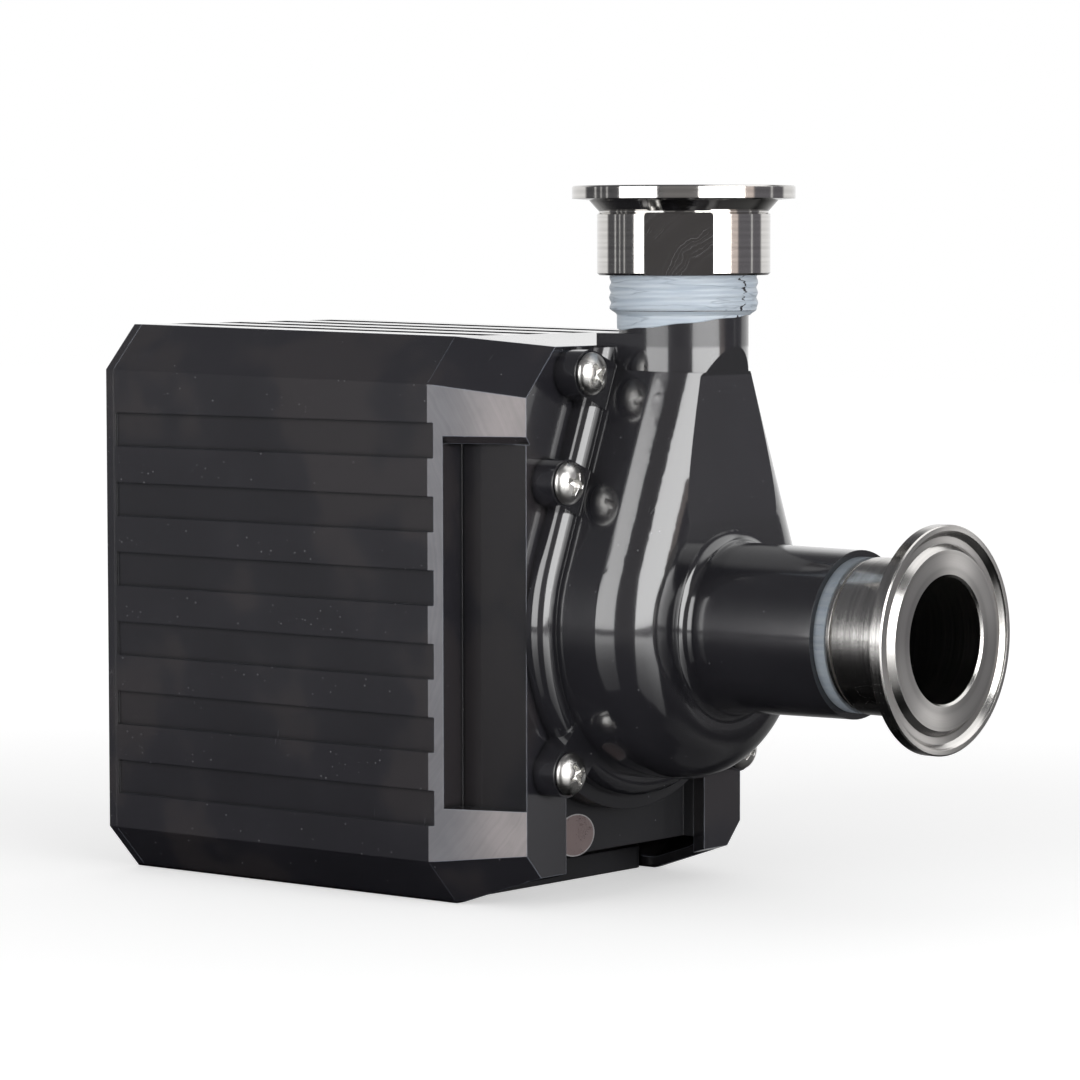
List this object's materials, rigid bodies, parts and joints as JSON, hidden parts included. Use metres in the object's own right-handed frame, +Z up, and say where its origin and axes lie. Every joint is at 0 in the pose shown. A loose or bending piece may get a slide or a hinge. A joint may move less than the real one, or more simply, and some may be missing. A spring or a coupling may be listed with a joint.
{
  "type": "magnetic drive pump",
  "caption": "Magnetic drive pump: a moulded motor cover, a teardrop pump casing, and clamp ferrules at its inlet and upright outlet.",
  "frame": {"origin": "centre of the underside of the base plate, on the surface that the pump stands on", "axes": "+Z up along the outlet, -Y along the pump axis towards the inlet, +X to the pump's left as seen from the inlet"},
  "size_m": [0.0958, 0.2095, 0.1621],
  "materials": {
    "cover_plastic": "satin moulded black",
    "casing_plastic": "smooth moulded black",
    "inner_plastic": "moulded black",
    "bracket_plastic": "moulded black",
    "ferrule_steel": "polished, with turned rings",
    "screw_steel": "bright stainless",
    "plain_steel": "ground",
    "zinc_steel": "zinc plated",
    "core_steel": "laminated",
    "aluminium": "die cast",
    "copper_windings": "enamelled wire with varnish",
    "magnet_ferrite": "sintered",
    "white_ceramic": "ground",
    "fluoropolymer": "smooth",
    "seal_rubber": "moulded",
    "thread_tape": "wrapped thread tape",
    "label_foil": "bare foil",
    "capacitor_case": "moulded white",
    "terminal_plastic": "moulded"
  },
  "bodies": {
    "housing": {"motor_cover": "cover_plastic", "rear_panel": "cover_plastic", "rear_panel_screws": "screw_steel", "cable_bushing": "seal_rubber", "base_plate": "bracket_plastic", "bracket_screws": "screw_steel", "motor_bracket": "bracket_plastic", "inspection_label": "label_foil", "front_casing": "casing_plastic", "pump_screws": "screw_steel", "casing_o_ring": "seal_rubber", "rear_casing": "inner_plastic", "pump_spindle": "white_ceramic", "front_thrust_ring": "white_ceramic", "rear_thrust_washer": "white_ceramic", "mouth_ring": "fluoropolymer", "stator_core": "core_steel", "stator_windings": "copper_windings", "rear_end_bell": "aluminium", "through_bolts": "zinc_steel", "front_bearing_outer": "plain_steel", "rear_bearing_outer": "plain_steel", "run_capacitor": "capacitor_case", "terminal_block": "terminal_plastic", "outlet_ferrule": "ferrule_steel", "outlet_thread_tape": "thread_tape", "inlet_ferrule": "ferrule_steel", "inlet_thread_tape": "thread_tape"},
    "rotor": {"drive_magnet_cup": "zinc_steel", "drive_magnets": "magnet_ferrite", "coupling_set_screw": "plain_steel", "motor_shaft": "plain_steel", "rotor_core": "core_steel", "front_bearing_inner": "plain_steel", "rear_bearing_inner": "plain_steel", "cooling_fan": "inner_plastic"},
    "impeller_assembly": {"impeller": "inner_plastic", "driven_magnet_capsule": "inner_plastic", "driven_magnets": "magnet_ferrite", "impeller_bush": "fluoropolymer"}
  },
  "joints": [
    {"name": "rotor_spin", "type": "hinge", "parent": "housing", "child": "rotor", "pos_m": [0, 0, 0.063], "axis": [0, 1, 0], "continuous": true},
    {"name": "impeller_spin", "type": "hinge", "parent": "housing", "child": "impeller_assembly", "pos_m": [0, -0.071, 0.063], "axis": [0, 1, 0], "continuous": true}
  ],
  "couplings": [
    {"joint": "impeller_spin", "follows": "rotor_spin", "ratio": 1}
  ]
}
